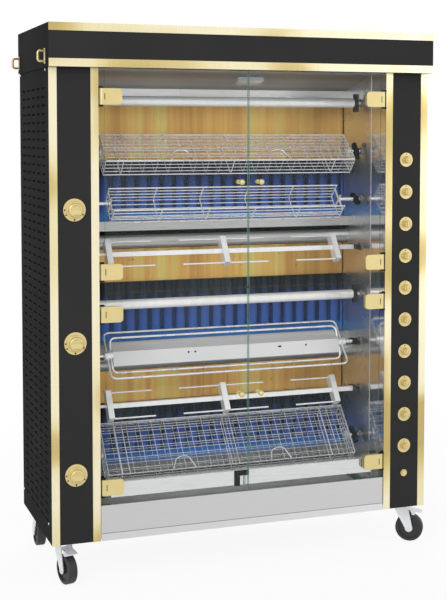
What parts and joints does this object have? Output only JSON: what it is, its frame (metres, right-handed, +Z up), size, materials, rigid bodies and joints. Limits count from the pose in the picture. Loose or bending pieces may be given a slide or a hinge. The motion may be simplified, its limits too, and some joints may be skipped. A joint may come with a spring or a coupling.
{
  "type": "gas spit rotisserie",
  "caption": "Upright gas rotisserie cabinet with driven spits, mesh baskets, fluted burner plates, glass doors, brass trims, knobs and a drip tray, on swivel casters.",
  "frame": {"origin": "on the floor, under the middle of the whole object's box", "axes": "+X to the right seen from the doors, +Y to the back, +Z up"},
  "size_m": [1.428, 0.5769, 1.85],
  "materials": {
    "black_enamel": "satin black enamel",
    "polished_brass": "polished brass",
    "zinc_steel": "zinc plated steel",
    "mirror_steel": "polished stainless steel",
    "stainless": "brushed stainless steel",
    "heat_tinted_steel": "heat tinted polished steel",
    "cast_black": "black cast iron",
    "pipe_brass": "plain brass pipe",
    "motor_grey": "grey paint",
    "black_plastic": "moulded black plastic",
    "chrome_wire": "bright chromed steel",
    "clear_glass": "clear tempered glass",
    "wheel_rubber": "black rubber tread"
  },
  "bodies": {
    "cabinet": {"side_panels": "black_enamel", "column_panels": "black_enamel", "header_canopy": "black_enamel", "brass_trims": "polished_brass", "back_panel": "black_enamel", "base_chassis": "zinc_steel", "cavity_liner": "mirror_steel", "lamp": "stainless", "reflector_plates": "heat_tinted_steel", "burner_plates": "cast_black", "burners": "stainless", "gas_train": "pipe_brass", "spit_bearings": "stainless", "spit_gearmotors": "motor_grey", "switches_and_gland": "black_plastic", "door_brackets": "zinc_steel", "control_bezels": "polished_brass"},
    "fork_front_left": {"caster_fork_front_left": "zinc_steel"},
    "wheel_front_left": {"caster_wheel_front_left": "wheel_rubber"},
    "pedal_front_left": {"brake_pedal_front_left": "zinc_steel"},
    "fork_front_right": {"caster_fork_front_right": "zinc_steel"},
    "wheel_front_right": {"caster_wheel_front_right": "wheel_rubber"},
    "pedal_front_right": {"brake_pedal_front_right": "zinc_steel"},
    "fork_rear_left": {"caster_fork_rear_left": "zinc_steel"},
    "wheel_rear_left": {"caster_wheel_rear_left": "wheel_rubber"},
    "fork_rear_right": {"caster_fork_rear_right": "zinc_steel"},
    "wheel_rear_right": {"caster_wheel_rear_right": "wheel_rubber"},
    "door_lower_left": {"door_glass_lower_left": "clear_glass", "door_fittings_lower_left": "polished_brass"},
    "door_upper_left": {"door_glass_upper_left": "clear_glass", "door_fittings_upper_left": "polished_brass"},
    "door_lower_right": {"door_glass_lower_right": "clear_glass", "door_fittings_lower_right": "polished_brass"},
    "door_upper_right": {"door_glass_upper_right": "clear_glass", "door_fittings_upper_right": "polished_brass"},
    "gas_knob_1": {"gas_knob_1": "polished_brass"},
    "gas_knob_2": {"gas_knob_2": "polished_brass"},
    "gas_knob_3": {"gas_knob_3": "polished_brass"},
    "switch_knob_1": {"switch_knob_1": "polished_brass"},
    "switch_knob_2": {"switch_knob_2": "polished_brass"},
    "switch_knob_3": {"switch_knob_3": "polished_brass"},
    "switch_knob_4": {"switch_knob_4": "polished_brass"},
    "switch_knob_5": {"switch_knob_5": "polished_brass"},
    "switch_knob_6": {"switch_knob_6": "polished_brass"},
    "switch_knob_7": {"switch_knob_7": "polished_brass"},
    "switch_knob_8": {"switch_knob_8": "polished_brass"},
    "switch_knob_9": {"switch_knob_9": "polished_brass"},
    "switch_knob_10": {"switch_knob_10": "polished_brass"},
    "push_button": {"push_button": "polished_brass"},
    "drip_tray": {"drip_tray": "stainless"},
    "spit_1": {"spit_1_tube": "chrome_wire"},
    "spit_2": {"spit_2_basket": "chrome_wire"},
    "spit_3": {"spit_3_cradle": "chrome_wire"},
    "spit_4": {"spit_4_forks": "chrome_wire"},
    "spit_5": {"spit_5_tube": "chrome_wire"},
    "spit_6": {"spit_6_rack": "chrome_wire"},
    "spit_7": {"spit_7_forks": "chrome_wire"},
    "spit_8": {"spit_8_basket": "chrome_wire"},
    "spit_2_lid": {"spit_2_lid": "chrome_wire"},
    "spit_8_lid": {"spit_8_lid": "chrome_wire"}
  },
  "joints": [
    {"name": "caster_swivel_front_left", "type": "hinge", "parent": "cabinet", "child": "fork_front_left", "pos_m": [-0.631, -0.1435, 0.15], "axis": [0, 0, 1], "continuous": true},
    {"name": "wheel_spin_front_left", "type": "hinge", "parent": "fork_front_left", "child": "wheel_front_left", "pos_m": [-0.62091, -0.18427, 0.05], "axis": [0.9707, 0.2402, 0], "continuous": true},
    {"name": "brake_pedal_front_left", "type": "hinge", "parent": "fork_front_left", "child": "pedal_front_left", "pos_m": [-0.62283, -0.1765, 0.118], "axis": [-0.9707, -0.2402, 0], "range_deg": [0, 16]},
    {"name": "caster_swivel_front_right", "type": "hinge", "parent": "cabinet", "child": "fork_front_right", "pos_m": [0.631, -0.1435, 0.15], "axis": [0, 0, 1], "continuous": true},
    {"name": "wheel_spin_front_right", "type": "hinge", "parent": "fork_front_right", "child": "wheel_front_right", "pos_m": [0.66549, -0.16747, 0.05], "axis": [0.5708, 0.8211, 0], "continuous": true},
    {"name": "brake_pedal_front_right", "type": "hinge", "parent": "fork_front_right", "child": "pedal_front_right", "pos_m": [0.65892, -0.16291, 0.118], "axis": [-0.5708, -0.8211, 0], "range_deg": [0, 16]},
    {"name": "caster_swivel_rear_left", "type": "hinge", "parent": "cabinet", "child": "fork_rear_left", "pos_m": [-0.631, 0.1965, 0.15], "axis": [0, 0, 1], "continuous": true},
    {"name": "wheel_spin_rear_left", "type": "hinge", "parent": "fork_rear_left", "child": "wheel_rear_left", "pos_m": [-0.631, 0.2385, 0.05], "axis": [-1, 0, 0], "continuous": true},
    {"name": "caster_swivel_rear_right", "type": "hinge", "parent": "cabinet", "child": "fork_rear_right", "pos_m": [0.631, 0.1965, 0.15], "axis": [0, 0, 1], "continuous": true},
    {"name": "wheel_spin_rear_right", "type": "hinge", "parent": "fork_rear_right", "child": "wheel_rear_right", "pos_m": [0.631, 0.2385, 0.05], "axis": [-1, 0, 0], "continuous": true},
    {"name": "door_hinge_lower_left", "type": "hinge", "parent": "cabinet", "child": "door_lower_left", "pos_m": [-0.507, -0.2415, 0.622], "axis": [0, 0, -1], "range_deg": [0, 110]},
    {"name": "door_hinge_upper_left", "type": "hinge", "parent": "cabinet", "child": "door_upper_left", "pos_m": [-0.507, -0.2415, 1.341], "axis": [0, 0, -1], "range_deg": [0, 110]},
    {"name": "door_hinge_lower_right", "type": "hinge", "parent": "cabinet", "child": "door_lower_right", "pos_m": [0.507, -0.2415, 0.622], "axis": [0, 0, 1], "range_deg": [0, 110]},
    {"name": "door_hinge_upper_right", "type": "hinge", "parent": "cabinet", "child": "door_upper_right", "pos_m": [0.507, -0.2415, 1.341], "axis": [0, 0, 1], "range_deg": [0, 110]},
    {"name": "gas_knob_1_turn", "type": "hinge", "parent": "cabinet", "child": "gas_knob_1", "pos_m": [-0.6005, -0.2415, 1.2498], "axis": [0, 1, 0], "range_deg": [-180, 0]},
    {"name": "gas_knob_2_turn", "type": "hinge", "parent": "cabinet", "child": "gas_knob_2", "pos_m": [-0.6005, -0.2415, 0.8142], "axis": [0, 1, 0], "range_deg": [-180, 0]},
    {"name": "gas_knob_3_turn", "type": "hinge", "parent": "cabinet", "child": "gas_knob_3", "pos_m": [-0.6005, -0.2415, 0.3786], "axis": [0, 1, 0], "range_deg": [-180, 0]},
    {"name": "switch_knob_1_turn", "type": "hinge", "parent": "cabinet", "child": "switch_knob_1", "pos_m": [0.6005, -0.2415, 1.4045], "axis": [0, 1, 0], "range_deg": [0, 90]},
    {"name": "switch_knob_2_turn", "type": "hinge", "parent": "cabinet", "child": "switch_knob_2", "pos_m": [0.6005, -0.2415, 1.29029], "axis": [0, 1, 0], "range_deg": [0, 90]},
    {"name": "switch_knob_3_turn", "type": "hinge", "parent": "cabinet", "child": "switch_knob_3", "pos_m": [0.6005, -0.2415, 1.17608], "axis": [0, 1, 0], "range_deg": [0, 90]},
    {"name": "switch_knob_4_turn", "type": "hinge", "parent": "cabinet", "child": "switch_knob_4", "pos_m": [0.6005, -0.2415, 1.06187], "axis": [0, 1, 0], "range_deg": [0, 90]},
    {"name": "switch_knob_5_turn", "type": "hinge", "parent": "cabinet", "child": "switch_knob_5", "pos_m": [0.6005, -0.2415, 0.94766], "axis": [0, 1, 0], "range_deg": [0, 90]},
    {"name": "switch_knob_6_turn", "type": "hinge", "parent": "cabinet", "child": "switch_knob_6", "pos_m": [0.6005, -0.2415, 0.83344], "axis": [0, 1, 0], "range_deg": [0, 90]},
    {"name": "switch_knob_7_turn", "type": "hinge", "parent": "cabinet", "child": "switch_knob_7", "pos_m": [0.6005, -0.2415, 0.71923], "axis": [0, 1, 0], "range_deg": [0, 90]},
    {"name": "switch_knob_8_turn", "type": "hinge", "parent": "cabinet", "child": "switch_knob_8", "pos_m": [0.6005, -0.2415, 0.60502], "axis": [0, 1, 0], "range_deg": [0, 90]},
    {"name": "switch_knob_9_turn", "type": "hinge", "parent": "cabinet", "child": "switch_knob_9", "pos_m": [0.6005, -0.2415, 0.49081], "axis": [0, 1, 0], "range_deg": [0, 90]},
    {"name": "switch_knob_10_turn", "type": "hinge", "parent": "cabinet", "child": "switch_knob_10", "pos_m": [0.6005, -0.2415, 0.3766], "axis": [0, 1, 0], "range_deg": [0, 90]},
    {"name": "push_button_press", "type": "slide", "parent": "cabinet", "child": "push_button", "axis": [0, 1, 0], "range_m": [0, 0.003], "stiffness_N_per_m": 800},
    {"name": "drip_tray_slide", "type": "slide", "parent": "cabinet", "child": "drip_tray", "axis": [0, -1, 0], "range_m": [0, 0.3]},
    {"name": "spit_1_spin", "type": "hinge", "parent": "cabinet", "child": "spit_1", "pos_m": [0, -0.0435, 1.609], "axis": [1, 0, 0], "continuous": true},
    {"name": "spit_2_spin", "type": "hinge", "parent": "cabinet", "child": "spit_2", "pos_m": [0, -0.0435, 1.4333], "axis": [1, 0, 0], "continuous": true},
    {"name": "spit_3_spin", "type": "hinge", "parent": "cabinet", "child": "spit_3", "pos_m": [0, -0.0435, 1.2576], "axis": [1, 0, 0], "continuous": true},
    {"name": "spit_4_spin", "type": "hinge", "parent": "cabinet", "child": "spit_4", "pos_m": [0, -0.0435, 1.0819], "axis": [1, 0, 0], "continuous": true},
    {"name": "spit_5_spin", "type": "hinge", "parent": "cabinet", "child": "spit_5", "pos_m": [0, -0.0435, 0.9062], "axis": [1, 0, 0], "continuous": true},
    {"name": "spit_6_spin", "type": "hinge", "parent": "cabinet", "child": "spit_6", "pos_m": [0, -0.0435, 0.7305], "axis": [1, 0, 0], "continuous": true},
    {"name": "spit_7_spin", "type": "hinge", "parent": "cabinet", "child": "spit_7", "pos_m": [0, -0.0435, 0.5548], "axis": [1, 0, 0], "continuous": true},
    {"name": "spit_8_spin", "type": "hinge", "parent": "cabinet", "child": "spit_8", "pos_m": [0, -0.0435, 0.3791], "axis": [1, 0, 0], "continuous": true},
    {"name": "spit_2_lid_hinge", "type": "hinge", "parent": "spit_2", "child": "spit_2_lid", "pos_m": [0, -0.01797, 1.49342], "axis": [-1, 0, 0], "range_deg": [0, 60]},
    {"name": "spit_8_lid_hinge", "type": "hinge", "parent": "spit_8", "child": "spit_8_lid", "pos_m": [0, 0.0001, 0.48464], "axis": [-1, 0, 0], "range_deg": [0, 16]}
  ]
}
